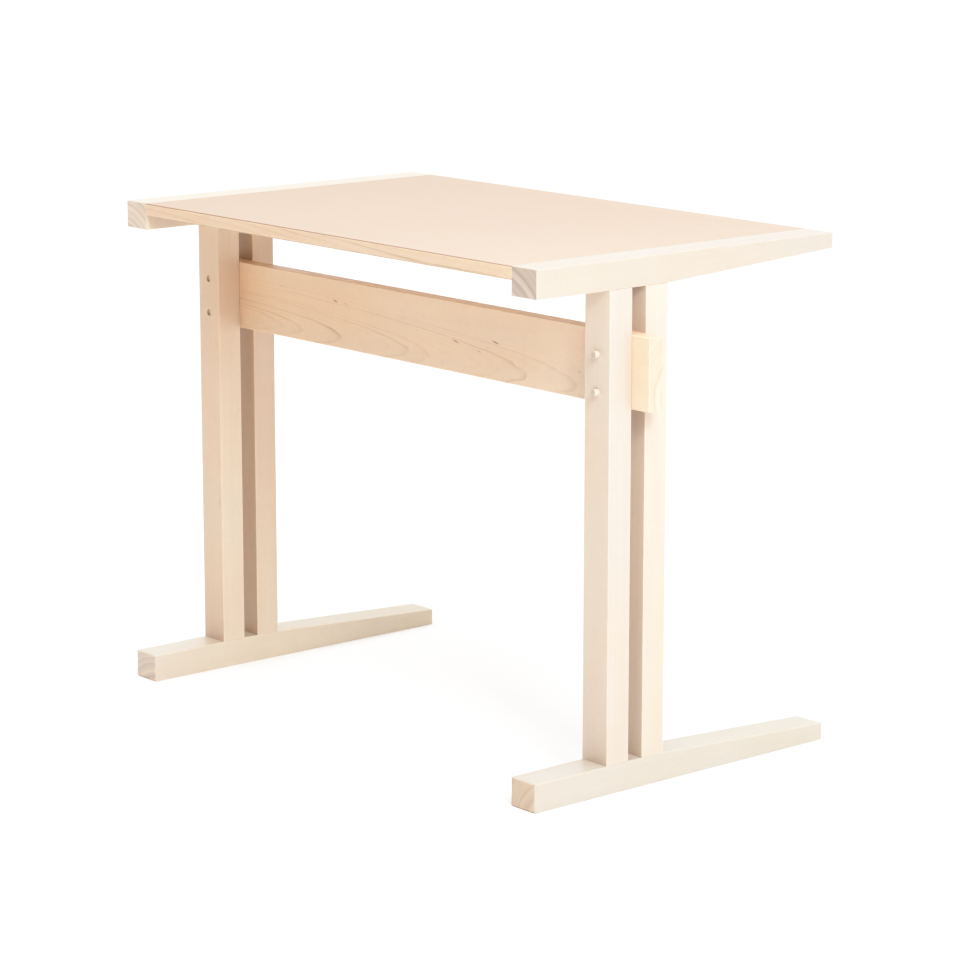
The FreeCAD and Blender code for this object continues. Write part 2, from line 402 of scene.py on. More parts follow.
@dataclass(frozen=True)
class Maple:
    """Solid hard maple with a thin satin finish.

    Fields:
        pale: Wood between the growth rings.
        ring: The thin line that ends each ring.
        fleck: Pores and short brown flecks.
        end: What end grain is tinted towards.
        ring_pitch: Spacing of the growth rings.
        ring_depth: Strength of the ring lines.
        line_start: Share of a ring that is past where its dark line begins.
        wander: How far rings stray over a hand's breadth.
        ripple: How far rings stray over a finger's breadth.
        streakiness: Strength of the broad bands along the grain.
        curl: Strength of the soft bands across the grain.
        pore_depth: Strength of the pores.
        fibre_depth: Strength of the fine fibres.
        edge_wear_and_highlight: How much paler the eased edges are: partly rubbed wear, partly a painted
            highlight where the arris catches the light.
        warm: What the colour is multiplied by in the wood's warmer patches.
        cool: The same in its cooler patches.
        roughness: Roughness of the wood under its finish.
        coat: How much of the finish lies on the wood.
        coat_roughness: Roughness of that finish.
    """

    pale: Triple
    ring: Triple
    fleck: Triple
    end: Triple
    ring_pitch: float = 0.0025
    ring_depth: float = 0.5
    line_start: float = 0.76
    wander: float = 0.006
    ripple: float = 0.0006
    streakiness: float = 0.10
    curl: float = 0.05
    pore_depth: float = 0.18
    fibre_depth: float = 0.07
    edge_wear_and_highlight: float = 0.12
    warm: Triple = (1.014, 0.988, 0.962)
    cool: Triple = (0.986, 1.012, 1.038)
    roughness: float = 0.45
    coat: float = 0.35
    coat_roughness: float = 0.32

    def dress(self, piece: Piece, board: Board, slope: Optional[Slope] = None) -> None:
        """Makes this board's own material and puts it on.

        Args:
            piece: The piece to dress.
            board: How it was cut.
            slope: Its taper, where it has one.
        """
        sheet = FinishSheet(f"maple_{piece.name}")
        spot = sheet.add("ShaderNodeTexCoord")
        place = spot.outputs["Object"]
        grain = sheet.add(
            "ShaderNodeMapping",
            {"vector_type": "TEXTURE"},
            {"Vector": place, "Location": board.heart, "Rotation": board.way.turn(board.lean)},
        ).outputs["Vector"]
        is_end = self._end_share(sheet, spot.outputs["Normal"], board.way)
        radius, line = self._ring_line(sheet, grain, board)
        fibre = sheet.noise(grain, FIBRES, board.seed, 3.0) - 0.5
        band = sheet.noise(grain, BANDS, board.seed + 2.0) - 0.5
        cloud = sheet.noise(grain, CLOUDS, board.seed + 4.0) - 0.5
        curl = sheet.noise(grain, CURL, board.seed + 6.0, 1.0) - 0.5
        pore = sheet.noise(grain, PORES, board.seed + 8.0, 0.0).rise(0.67, 0.77)
        spells = radius * SPELLS_PER_METRE + board.seed
        growth = sheet.add("ShaderNodeTexNoise", {"noise_dimensions": "1D"}, {"W": spells})
        spell = (Signal(sheet, growth.outputs["Fac"]) - 0.5) * is_end
        edge = self._edge_share(sheet, place, piece, slope)
        rub = sheet.noise(place, RUB, board.seed, 2.0).rise(0.3, 0.6)
        # Paler eased edges: partly rubbed wear, partly a painted highlight where the arris catches the
        # light
        wear_and_highlight = edge * (0.4 + rub * 0.6)

        colour = sheet.blend(line * (self.ring_depth + 0.25 * is_end), self.pale, self.ring)
        colour = sheet.blend(pore * (self.pore_depth * (1.0 - is_end * 0.5)), colour, self.fleck)
        colour = sheet.blend(is_end * 0.55, colour, self.end)
        for streak in board.streaks:
            depth = self._streak_share(sheet, place, streak)
            colour = sheet.blend(depth, colour, self.fleck)
        shade = (
            1.0
            + fibre * self.fibre_depth
            + band * self.streakiness
            + cloud * 0.08
            + curl * self.curl
            + wear_and_highlight * self.edge_wear_and_highlight
            + spell * board.bands
        )
        colour = sheet.scaled(colour, shade)
        # Tint along the board: its own tone together with painted light and shade
        tint = self._board_tint_and_light(sheet, place, piece, board)
        colour = sheet.blend(1.0, colour, tint, "MULTIPLY")
        drift = sheet.noise(grain, DRIFT, board.seed + 16.0).rise(0.32, 0.68)
        # Painted light and shade on the faces towards the pins' side
        is_front = sheet.split(spot.outputs["Normal"])[1].rise(-0.55, -0.9)
        for share, first, second in (
            (drift, self.warm, self.cool),
            (is_end, UNTINTED, board.end_tint),
            (is_front, UNTINTED, board.front_painted_light),
        ):
            colour = sheet.blend(1.0, colour, sheet.blend(share, first, second), "MULTIPLY")
        height = fibre * 0.5 - pore * 0.45 - line * 0.2 + cloud * 0.2
        facing = sheet.bump(0.35, 0.0002, height)
        gloss = self.roughness + fibre * 0.16 + pore * 0.15 + is_end * 0.18 - wear_and_highlight * 0.06 + curl * 0.05
        looks = {"Base Color": colour, "Roughness": gloss, "Normal": facing, "IOR": VARNISH_IOR}
        sheet.put_on(piece, {**looks, "Coat Weight": self.coat, "Coat Roughness": self.coat_roughness})

    def _board_tint_and_light(self, sheet: NodeSheet, spot: Socket, piece: Piece, board: Board) -> object:
        """Blends a board's colour from one end to the other: its own tone together with painted light
        and shade along its length.

        Args:
            sheet: The material's sheet.
            spot: The socket of the place in the desk's frame.
            piece: The piece.
            board: How it was cut.

        Returns:
            The tint, or the socket that carries it.
        """
        if board.tip_tint_and_light is None:
            return board.tint
        axis = board.way.value.index(1.0)
        reach = [corner[axis] for corner in piece.bound_box]
        share = (sheet.split(spot)[axis] - min(reach)) / (max(reach) - min(reach))
        return sheet.blend(share, board.tint, board.tip_tint_and_light)

    def _end_share(self, sheet: NodeSheet, normal: Socket, way: Way) -> Signal:
        """Tells end grain, with 1, from the long faces, with 0."""
        node = sheet.add("ShaderNodeVectorMath", {"operation": "DOT_PRODUCT"}, {0: normal, 1: way.value})
        return abs(Signal(sheet, node.outputs["Value"])).rise(0.55, 0.9)

    def _ring_line(self, sheet: NodeSheet, grain: Socket, board: Board) -> tuple[Signal, Signal]:
        """Draws the growth rings round the tree's heart.

        Args:
            sheet: The material's sheet.
            grain: The socket of the place, seen along the heart.
            board: How the board was cut.

        Returns:
            The distance from the heart, and 1 on the thin line that ends a ring, less between them.
        """
        along, across, away = sheet.split(grain)
        stray = sheet.noise(grain, WANDER, board.seed + 10.0) - 0.5
        shake = sheet.noise(grain, RIPPLE, board.seed + 12.0, 4.0) - 0.5
        radius = (across * across + away * away).root() + stray * self.wander + shake * self.ripple
        rings = radius / self.ring_pitch + board.phase
        vigour = self._vigour(sheet, rings, board)
        part = rings.part()
        edge = part.rise(self.line_start, 0.94) * part.rise(0.995, 0.955)
        body = part.rise(0.1, 0.95) * part.rise(1.0, 0.95)
        clear = sheet.noise(grain, CLEARNESS, board.seed + 14.0).rise(0.36, 0.62)
        line = edge * vigour * (0.2 + clear * 0.8) + body * 0.18 * vigour
        return radius, line

    def _vigour(self, sheet: NodeSheet, rings: Signal, board: Board) -> Signal:
        """Says how dark each year's ring is.

        Args:
            sheet: The material's sheet.
            rings: The number of rings up to this place.
            board: How the board was cut.

        Returns:
            The ring's darkness, from 0 to 1.
        """
        if board.years:
            count = len(board.years)
            stops = [(year / count, (dark, dark, dark)) for year, dark in enumerate(board.years)]
            place = (rings.whole() - board.first_year + 0.5) / float(count)
            ramp = sheet.add("ShaderNodeValToRGB", {"stops": stops}, {"Fac": place})
            return Signal(sheet, ramp.outputs["Color"])
        chance = sheet.chance(rings.whole() + board.seed)
        return chance * chance * 0.8 + 0.2

    def _edge_share(
        self, sheet: NodeSheet, spot: Socket, piece: Piece, slope: Optional[Slope]
    ) -> Signal:
        """Finds the eased edges: where a place is near two faces of the piece at once.

        Args:
            sheet: The material's sheet.
            spot: The socket of the place in the desk's frame.
            piece: The piece.
            slope: Its taper, where it has one.

        Returns:
            1 on an eased edge and 0 away from it.
        """
        corners = [Vector(corner) for corner in piece.bound_box]
        low = [min(corner[axis] for corner in corners) for axis in range(3)]
        high = [max(corner[axis] for corner in corners) for axis in range(3)]
        places = sheet.split(spot)
        below, above = low[2], high[2]
        if slope:
            drop = (places[1] - slope.start).most(0.0) * slope.fall
            below, above = (below, above - drop) if slope.is_on_top else (below + drop, above)
        depths = [
            (place - start).least(end - place) for place, start, end in zip(places, low[:2], high[:2])
        ]
        depths.append((places[2] - below).least(above - places[2]))
        first, second, third = depths
        second_least = first.least(second).most(first.most(second).least(third))
        return second_least.rise(0.0024, 0.0006)

    def _streak_share(self, sheet: NodeSheet, spot: Socket, streak: Streak) -> Signal:
        """Marks the inside of a mineral streak.

        Args:
            sheet: The material's sheet.
            spot: The socket of the place in the desk's frame.
            streak: The streak.

        Returns:
            The streak's depth in its middle and 0 outside.
        """
        inside = sheet.add(
            "ShaderNodeMapping",
            {"vector_type": "TEXTURE"},
            {
                "Vector": spot,
                "Location": streak.centre,
                "Rotation": (0.0, math.radians(streak.slant), 0.0),
                "Scale": streak.half_size,
            },
        )
        length = sheet.add(
            "ShaderNodeVectorMath", {"operation": "LENGTH"}, {0: inside.outputs["Vector"]}
        )
        return Signal(sheet, length.outputs["Value"]).rise(1.0, 0.2) * streak.depth


@dataclass(frozen=True)
class FaceVeneer:
    """A thin sliced maple veneer, sanded smooth, with its bare brown edge at front and back.

    Fields:
        face: Colour of the face.
        deep: Colour that the figure leans towards.
        edge: Colour of the cut edge and its glue line.
        leaf: Width of each sliced leaf.
        figure: Strength of the figure.
        edge_depth: How far the cut edge takes on the edge's colour.
        roughness: Roughness of the finish.
    """

    face: Triple
    deep: Triple
    edge: Triple
    leaf: float
    figure: float
    edge_depth: float
    roughness: float = 0.65

    def dress(self, piece: Piece, board: Board) -> None:
        """Makes the sheet's material and puts it on.

        Args:
            piece: The sheet.
            board: How it was cut.
        """
        sheet = FinishSheet(f"veneer_{piece.name}")
        spot = sheet.add("ShaderNodeTexCoord")
        place = spot.outputs["Object"]
        along, across, _ = sheet.split(place)
        leaves = across / self.leaf + board.phase
        number = leaves.whole()
        middle = leaves.part() - 0.5
        mirrored = abs(middle)
        pick = sheet.chance(number + board.seed) - 0.5
        stray = sheet.noise(place, VENEER_WANDER, board.seed) - 0.5
        arch = (mirrored * mirrored * 26.0 + along * 2.2 + stray * 3.0 + pick * 1.5) * 3.0
        line = arch.part().rise(0.55, 0.93) * arch.part().rise(1.0, 0.94)
        fibre = sheet.noise(place, VENEER_FIBRES, board.seed + 2.0, 3.0) - 0.5
        band = sheet.noise(place, VENEER_BANDS, board.seed + 4.0) - 0.5
        cloud = sheet.noise(place, VENEER_CLOUDS, board.seed + 6.0) - 0.5
        pore = sheet.noise(place, VENEER_PORES, board.seed + 8.0, 0.0).rise(0.67, 0.77)
        joint = abs(middle).rise(0.4985, 0.4998)
        normal = sheet.split(spot.outputs["Normal"])
        is_edge = abs(normal[1]).rise(0.25, 0.6)
        ply = sheet.noise(place, VENEER_PLIES, board.seed, 2.0)

        colour = sheet.blend(line * self.figure, self.face, self.deep)
        colour = sheet.blend(pore * 0.22, colour, self.deep)
        colour = sheet.blend(joint * 0.35, colour, self.deep)
        stain = is_edge * (0.4 + ply * 1.2).least(1.0) * self.edge_depth
        colour = sheet.blend(stain, colour, self.edge)
        shade = 1.0 + fibre * 0.045 + band * 0.05 + cloud * 0.035 + pick * 0.012
        colour = sheet.scaled(colour, shade)
        colour = sheet.blend(1.0, colour, board.tint, "MULTIPLY")
        height = fibre * 0.4 - pore * 0.4 - joint * 0.5
        facing = sheet.bump(0.25, 0.00015, height)
        gloss = self.roughness + fibre * 0.12 + cloud * 0.08 + is_edge * 0.25
        looks = {"Base Color": colour, "Roughness": gloss, "Normal": facing, "IOR": VARNISH_IOR}
        sheet.put_on(piece, looks)


@dataclass(frozen=True)
class CoreBoard:
    """Birch plywood, laid up in thin crossed layers that show on its edges.

    Fields:
        light: Layers whose grain runs along the edge.
        dark: Layers that show their end grain.
        layer: Thickness of a layer.
    """

    light: Triple
    dark: Triple
    layer: float = 0.0014

    def dress(self, piece: Piece, seed: float) -> None:
        """Makes the board's material and puts it on.

        Args:
            piece: The core or a spline.
            seed: Where in the endless pattern this board lies.
        """
        sheet = FinishSheet(f"plywood_{piece.name}")
        place = sheet.add("ShaderNodeTexCoord").outputs["Object"]
        up = sheet.split(place)[2]
        stray = sheet.noise(place, PLYWOOD_WANDER, seed) - 0.5
        turns = (up + stray * 0.0004) / (2.0 * self.layer)
        crossed = turns.part().rise(0.46, 0.50) * turns.part().rise(1.0, 0.97)
        fibre = sheet.noise(place, PLYWOOD_FIBRES, seed + 3.0, 3.0) - 0.5
        void = sheet.noise(place, PLYWOOD_GAPS, seed + 5.0, 0.0).rise(0.70, 0.76)
        colour = sheet.blend(crossed, self.light, self.dark)
        colour = sheet.scaled(colour, 1.0 + fibre * 0.22 - void * crossed * 0.4)
        facing = sheet.bump(0.5, 0.0003, fibre - void)
        gloss = 0.62 + fibre * 0.2
        sheet.put_on(piece, {"Base Color": colour, "Roughness": gloss, "Normal": facing})


FRAME_MAPLE = Maple(
    pale=(0.518, 0.422, 0.332),
    ring=(0.40, 0.285, 0.19),
    fleck=(0.32, 0.21, 0.14),
    end=(0.450, 0.346, 0.260),
    ring_depth=0.22,
)
BEAM_MAPLE = Maple(
    pale=(0.708, 0.492, 0.333),
    ring=(0.38, 0.225, 0.125),
    fleck=(0.26, 0.14, 0.075),
    end=(0.46, 0.33, 0.23),
    ring_pitch=0.00295,
    ring_depth=0.58,
    line_start=0.58,
    wander=0.0016,
    ripple=0.0028,
    pore_depth=0.13,
)
LIPPING_MAPLE = Maple(
    pale=(0.637, 0.435, 0.299),
    ring=(0.43, 0.29, 0.18),
    fleck=(0.34, 0.22, 0.13),
    end=(0.46, 0.35, 0.25),
    ring_depth=0.85,
    line_start=0.6,
    wander=0.012,
    ripple=0.0024,
    streakiness=0.22,
    pore_depth=0.26,
)
PIN_MAPLE = Maple(
    pale=(0.61, 0.49, 0.38),
    ring=(0.46, 0.34, 0.24),
    fleck=(0.38, 0.26, 0.18),
    end=(0.42, 0.34, 0.26),
    ring_pitch=0.0016,
    ring_depth=0.30,
)
TOP_VENEER = FaceVeneer(
    face=(0.472, 0.341, 0.264),
    deep=(0.41, 0.28, 0.205),
    edge=(0.30, 0.19, 0.13),
    leaf=0.184,
    figure=0.14,
    edge_depth=0.75,
)
BACKING_VENEER = FaceVeneer(
    face=(0.53, 0.415, 0.315),
    deep=(0.42, 0.29, 0.20),
    edge=(0.42, 0.29, 0.20),
    leaf=0.138,
    figure=0.32,
    edge_depth=0.5,
)
PLYWOOD = CoreBoard(light=(0.55, 0.41, 0.28), dark=(0.36, 0.24, 0.15))


@dataclass(frozen=True)
class Trestle:
    """An end of the desk: a foot, two uprights and a batten.

    Fields:
        side: Which end it is.
        taper_start: Y where the foot and the batten start to taper.
        rear: Y of their rear ends.
        foot_height: Height of the foot under the uprights.
        foot_tip: Height of its rear tip.
        batten_height: Height of the batten over the uprights.
        batten_tip: Height of its rear tip.
    """

    side: Side
    taper_start: float = -0.0406
    rear: float = 0.276
    foot_height: float = 0.041
    foot_tip: float = 0.025
    batten_height: float = 0.040
    batten_tip: float = 0.022

    def boards(self) -> dict[str, Board]:
        """Says how each board of this trestle was cut.

        Returns:
            Boards by the name of their node.
        """
        # Besides each board's tone, the tints, tip tints and front tints below hold painted light and
        # shade: the uprights are darker and warmer towards their tops under the desk's top, the right
        # rear upright is paler near its top, the left foot is warmer towards its rear under the top, the
        # lit fronts are paler and the slot wall is darker
        if self.side is Side.LEFT:
            return {
                "foot_left": Board(
                    Way.ALONG_Y, (-0.410, 0.0, -0.060), (0.5, 0.8), 1.3, tint=(1.024, 1.065, 1.100),
                    tip_tint_and_light=(1.043, 1.044, 0.970), end_tint=(1.114, 1.099, 1.101),
                ),
                "front_upright_left": Board(
                    Way.ALONG_Z, (-0.350, -0.040, 0.4), (0.4, 0.3), 2.9, tint=(1.062, 1.015, 0.995),
                    tip_tint_and_light=(1.170, 1.045, 0.930), front_painted_light=(1.07, 1.0, 0.94),
                    streaks=(Streak((-0.4205, -0.146, 0.262), (0.003, 0.004, 0.012), 0.35),),
                ),
                "rear_upright_left": Board(
                    Way.ALONG_Z, (-0.500, 0.030, 0.4), (0.2, -0.5), 4.1, tint=(1.03, 0.98, 0.938),
                    tip_tint_and_light=(1.04, 0.885, 0.765), front_painted_light=(0.965, 0.905, 0.82),
                ),
                "batten_left": Board(
                    Way.ALONG_Y, (-0.480, 0.0, 0.640), (1.1, 0.6), 5.7, tint=(1.096, 1.086, 1.068),
                    end_tint=(1.10, 1.136, 1.203), bands=0.7,
                ),
            }
        return {
            "foot_right": Board(
                Way.ALONG_Y, (0.500, 0.0, -0.030), (-0.5, 0.7), 7.3, tint=(0.868, 0.920, 0.975),
                tip_tint_and_light=(0.907, 0.994, 1.050), end_tint=(1.123, 1.006, 0.901),
            ),
            "front_upright_right": Board(
                Way.ALONG_Z, (0.370, -0.050, 0.4), (0.6, 0.4), 8.9, tint=(0.97, 0.95, 0.975),
                tip_tint_and_light=(0.99, 0.985, 1.04), front_painted_light=(1.08, 1.05, 0.99),
            ),
            "rear_upright_right": Board(
                Way.ALONG_Z, (0.520, -0.010, 0.4), (-0.3, 0.5), 10.1, tint=(1.033, 0.996, 0.987),
                tip_tint_and_light=(1.10, 1.08, 1.09),
            ),
            "batten_right": Board(
                Way.ALONG_Y, (0.368, 0.0, 0.621), (0.4, -0.3), 11.7, tint=(0.873, 0.891, 0.924),
                end_tint=(0.962, 0.956, 0.978), bands=0.75,
            ),
        }

    def build(self) -> None:
        """Dresses the trestle's boards."""
        run = self.rear - self.taper_start
        side = self.side.value
        foot_fall = (self.foot_height - self.foot_tip) / run
        batten_fall = (self.batten_height - self.batten_tip) / run
        tapers = {
            f"foot_{side}": Slope(self.taper_start, foot_fall, True),
            f"batten_{side}": Slope(self.taper_start, batten_fall, False),
        }
        for name, board in self.boards().items():
            FRAME_MAPLE.dress(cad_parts[name], board, tapers.get(name))
            LOG.info("dressed %s", name)


@dataclass(frozen=True)
class Beam:
    """The board on edge that joins the trestles.

    Fields:
        front: Y of its front face.
        heart_depth: How far behind the front face the tree's heart lies in the middle.
        heart_level: Z of the heart.
        lean: Degrees by which the heart leans away from the front face.
        years: How dark each ring is, from the innermost one that shows.
    """

    front: float = -0.1058
    heart_depth: float = 0.0462
    heart_level: float = 0.549
    lean: float = 3.3
    years: tuple[float, ...] = (
        (0.1, 0.5, 0.9, 0.12, 1.0, 0.1, 0.12, 0.6, 0.35)
        + (0.08, 0.1, 0.12, 0.6, 0.1, 0.4, 0.08, 0.12, 0.1)
    )

    def streaks(self) -> tuple[Streak, ...]:
        """Places the short dark streaks of the front face."""
        spots = (
            (-0.178, 0.6015, 0.0080, 0.0018, 1.00, 9.0),
            (-0.153, 0.6000, 0.0060, 0.0012, 0.60, 8.0),
            (0.098, 0.5770, 0.0105, 0.0016, 0.95, 15.0),
            (0.185, 0.5865, 0.0110, 0.0018, 1.00, 11.0),
            (0.149, 0.5690, 0.0080, 0.0012, 0.60, 12.0),
            (0.068, 0.5425, 0.0040, 0.0013, 0.50, 60.0),
            (-0.309, 0.6090, 0.0100, 0.0010, 0.40, 8.0),
            (0.360, 0.5690, 0.0060, 0.0012, 0.50, 14.0),
        )
        return tuple(
            Streak((x, self.front, z), (half, 0.004, thin), depth, slant)
            for x, z, half, thin, depth, slant in spots
        )

    def build(self) -> None:
        """Dresses the beam."""
        board = Board(
            Way.ALONG_X,
            (0.0, self.front + self.heart_depth, self.heart_level),
            (self.lean, 0.0),
            13.1,
            # Warmer at the left end and paler, cooler at the right: partly the board's tone, partly
            # painted light and shade along the beam
            tint=(1.02, 0.965, 0.87),
            tip_tint_and_light=(1.0, 1.035, 1.09),
            phase=0.43,
            first_year=8,
            years=self.years,
            streaks=self.streaks(),
        )
        BEAM_MAPLE.dress(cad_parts["beam"], board)
        LOG.info("dressed beam")


@dataclass(frozen=True)
class Pins:
    """The four round pins that lock the beam, made anew with smooth sides and rounded ends.

    Fields:
        radius: Half a pin's thickness.
        rounding: Radius of its rounded ends.
        sides: Faces round it.
        steps: Rings of faces in each rounded end.
        unevenness: How far its side strays from a true round.
        heart_offset: X and Z from the first pin's middle to its tree's heart.
        heart_step: How far that heart moves from one pin to the next.
        seed: Where in the endless pattern the first pin lies.
        proud_tint: What the end grain of the right pins, which stand proud, is multiplied by.
        sunk_end_painted_light: The same for the left pins, which lie in their holes: painted light that
            lifts their ends out of the holes' shade.
    """

    radius: float = 0.00498
    rounding: float = 0.0009
    sides: int = 40
    steps: int = 5
    unevenness: float = 0.00006
    heart_offset: tuple[float, float] = (0.021, -0.018)
    heart_step: tuple[float, float] = (-0.009, 0.011)
    seed: float = 17.0
    proud_tint: Triple = (0.82, 0.83, 0.85)
    sunk_end_painted_light: Triple = (1.34, 1.20, 1.05)

    def build(self) -> None:
        """Makes and dresses the four pins."""
        tree = self.make_tree()
        names = sorted(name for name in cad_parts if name.startswith("pin_"))
        for number, name in enumerate(names):
            piece = self.make_pin(tree, name, number)
            low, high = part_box(name)
            middle = (low + high) / 2
            aside, over = (
                offset + step * number for offset, step in zip(self.heart_offset, self.heart_step)
            )
            heart = (middle.x + aside, middle.y, middle.z + over)
            # The sunk pins' ends get painted light against the shade in their holes
            end_tint = self.proud_tint if name.endswith(Side.RIGHT.value) else self.sunk_end_painted_light
            board = Board(Way.ALONG_Y, heart, (1.0, 0.5), self.seed + number, end_tint=end_tint)
            PIN_MAPLE.dress(piece, board)
            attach(piece, f"{name}_body")
            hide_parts(name)
            LOG.info("made %s for %s", piece.name, name)

    def make_tree(self) -> bpy.types.NodeTree:
        """Builds the node tree that turns sizes into a pin lying along Y.

        Returns:
            The tree, whose inputs are the pin's sizes, seed and material.
        """
        tree = bpy.data.node_groups.new("turned_pin", "GeometryNodeTree")
        face = tree.interface
        face.new_socket("Geometry", in_out="INPUT", socket_type="NodeSocketGeometry")
        for name, kind in (
            ("Head", "NodeSocketVector"),
            ("Length", "NodeSocketFloat"),
            ("Radius", "NodeSocketFloat"),
            ("Rounding", "NodeSocketFloat"),
            ("Unevenness", "NodeSocketFloat"),
            ("Sides", "NodeSocketInt"),
            ("Steps", "NodeSocketInt"),
            ("Seed", "NodeSocketFloat"),
            ("Material", "NodeSocketMaterial"),
        ):
            face.new_socket(name, in_out="INPUT", socket_type=kind)
        face.new_socket("Geometry", in_out="OUTPUT", socket_type="NodeSocketGeometry")
        sheet = NodeSheet(tree)
        given = sheet.add("NodeGroupInput").outputs
        steps, length, rounding, radius = (
            Signal(sheet, given[name]) for name in ("Steps", "Length", "Rounding", "Radius")
        )
        last = steps * 2.0 + 1.0
        index = Signal(sheet, sheet.add("GeometryNodeInputIndex").outputs["Index"])
        angle = index.least(last - index) / steps * (math.pi / 2)
        is_far = sheet.maths("GREATER_THAN", index, steps)
        inset = rounding * (1.0 - sheet.maths("COSINE", angle))
        depth = inset + is_far * (length - inset * 2.0)
        girth = radius - rounding + rounding * sheet.maths("SINE", angle)
        spot = sheet.add("ShaderNodeCombineXYZ", inputs={"Y": depth})
        place = sheet.add(
            "ShaderNodeVectorMath",
            {"operation": "ADD"},
            {0: given["Head"], 1: spot.outputs["Vector"]},
        )
        line = sheet.add("GeometryNodeMeshLine", inputs={"Count": last + 1.0})
        path = sheet.add("GeometryNodeMeshToCurve", inputs={"Mesh": line.outputs["Mesh"]})
        laid = sheet.add(
            "GeometryNodeSetPosition",
            inputs={"Geometry": path.outputs["Curve"], "Position": place.outputs["Vector"]},
        )
        grown = sheet.add(
            "GeometryNodeSetCurveRadius",
            inputs={"Curve": laid.outputs["Geometry"], "Radius": girth},
        )
        ring = sheet.add(
            "GeometryNodeCurvePrimitiveCircle", inputs={"Resolution": given["Sides"], "Radius": 1.0}
        )
        rod = sheet.add(
            "GeometryNodeCurveToMesh",
            inputs={
                "Curve": grown.outputs["Curve"],
                "Profile Curve": ring.outputs["Curve"],
                "Scale": sheet.add("GeometryNodeInputRadius").outputs["Radius"],
                "Fill Caps": True,
            },
        )
        rough = sheet.add(
            "ShaderNodeTexNoise",
            {"noise_dimensions": "4D"},
            {"W": given["Seed"], "Scale": 260.0, "Detail": 1.0},
        )
        normal = sheet.add("GeometryNodeInputNormal").outputs["Normal"]
        swing = (Signal(sheet, rough.outputs["Fac"]) - 0.5) * Signal(sheet, given["Unevenness"])
        offset = sheet.scaled(normal, swing)
        uneven = sheet.add(
            "GeometryNodeSetPosition",
            inputs={"Geometry": rod.outputs["Mesh"], "Offset": offset},
        )
        is_side = sheet.maths("LESS_THAN", abs(sheet.split(normal)[1]), 0.98)
        smooth = sheet.add(
            "GeometryNodeSetShadeSmooth",
            inputs={"Geometry": uneven.outputs["Geometry"], "Shade Smooth": is_side},
        )
        real = sheet.add(
            "GeometryNodeRealizeInstances", inputs={"Geometry": smooth.outputs["Geometry"]}
        )
        dressed = sheet.add(
            "GeometryNodeSetMaterial",
            inputs={"Geometry": real.outputs["Geometry"], "Material": given["Material"]},
        )
        sheet.add("NodeGroupOutput", inputs={"Geometry": dressed.outputs["Geometry"]})
        return tree

    def make_pin(self, tree: bpy.types.NodeTree, node: str, number: int) -> Piece:
        """Runs the tree for one pin and keeps the result as a plain mesh.

        Args:
            tree: The pins' node tree.
            node: The frame's pin that this one stands for.
            number: Which of the four it is.

        Returns:
            The new piece, in place in its mesh.
        """
        low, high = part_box(node)
        head = Vector(((low.x + high.x) / 2, low.y, (low.z + high.z) / 2))
        piece = bpy.data.objects.new(node.replace("pin", "turned_pin"), bpy.data.meshes.new(node))
        bpy.context.scene.collection.objects.link(piece)
        modifier = piece.modifiers.new("pin", "NODES")
        modifier.node_group = tree
        sizes = {
            "Head": head,
            "Length": high.y - low.y,
            "Radius": self.radius,
            "Rounding": self.rounding,
            "Unevenness": self.unevenness,
            "Sides": self.sides,
            "Steps": self.steps,
            "Seed": 3.0 + number,
            "Material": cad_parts[node].material_slots[0].material,
        }
        for item in tree.interface.items_tree:
            if item.in_out == "INPUT" and item.name in sizes:
                modifier[item.identifier] = sizes[item.name]
        evaluated = piece.evaluated_get(bpy.context.evaluated_depsgraph_get())
        mesh = bpy.data.meshes.new_from_object(evaluated)
        piece.modifiers.clear()
        piece.data = mesh
        return piece


@dataclass(frozen=True)
class Top:
    """The veneered board between the battens, with its lippings and hidden splines.

    Fields:
        level: Z of its face.
    """

    level: float = 0.737

    def build(self) -> None:
        """Dresses the layers of the top."""
        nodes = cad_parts
        middle = (0.0, 0.0, 0.0)
        front_heart = (0.0, -0.200, self.level - 0.030)
        rear_heart = (0.0, 0.210, self.level - 0.045)
        for name, finish, board in (
            ("top_face_veneer", TOP_VENEER, Board(Way.ALONG_X, middle, (0.0, 0.0), 21.3, phase=0.5)),
            ("top_backing_veneer", BACKING_VENEER, Board(Way.ALONG_X, middle, (0.0, 0.0), 23.7)),
            ("front_lipping", LIPPING_MAPLE, Board(Way.ALONG_X, front_heart, (0.8, 0.4), 25.1)),
            ("rear_lipping", LIPPING_MAPLE, Board(Way.ALONG_X, rear_heart, (-0.6, 0.5), 26.9)),
        ):
            finish.dress(nodes[name], board)
        for seed, name in enumerate(("top_core", "spline_left", "spline_right")):
            PLYWOOD.dress(nodes[name], 30.0 + seed)
        LOG.info("dressed the top")


@dataclass(frozen=True)
class StudioLight:
    """A light that looks at the desk.

    Fields:
        name: The light's name.
        heading: Degrees round the desk, from the pins' side towards its right end.
        height: Degrees above the floor.
    """

    name: str
    heading: float
    height: float

    def place(self, light: bpy.types.Light, reach: float) -> None:
        """Puts the light into the room.

        Args:
            light: The light's own settings.
            reach: Its distance from the middle of the desk.
        """
        turn, climb = math.radians(self.heading), math.radians(self.height)
        out = math.cos(climb)
        away = Vector((math.sin(turn) * out, -math.cos(turn) * out, math.sin(climb)))
        lamp = bpy.data.objects.new(self.name, light)
        lamp.location = DESK_MIDDLE + away * reach
        lamp.rotation_euler = (-away).to_track_quat("-Z", "Y").to_euler()
        bpy.context.scene.collection.objects.link(lamp)


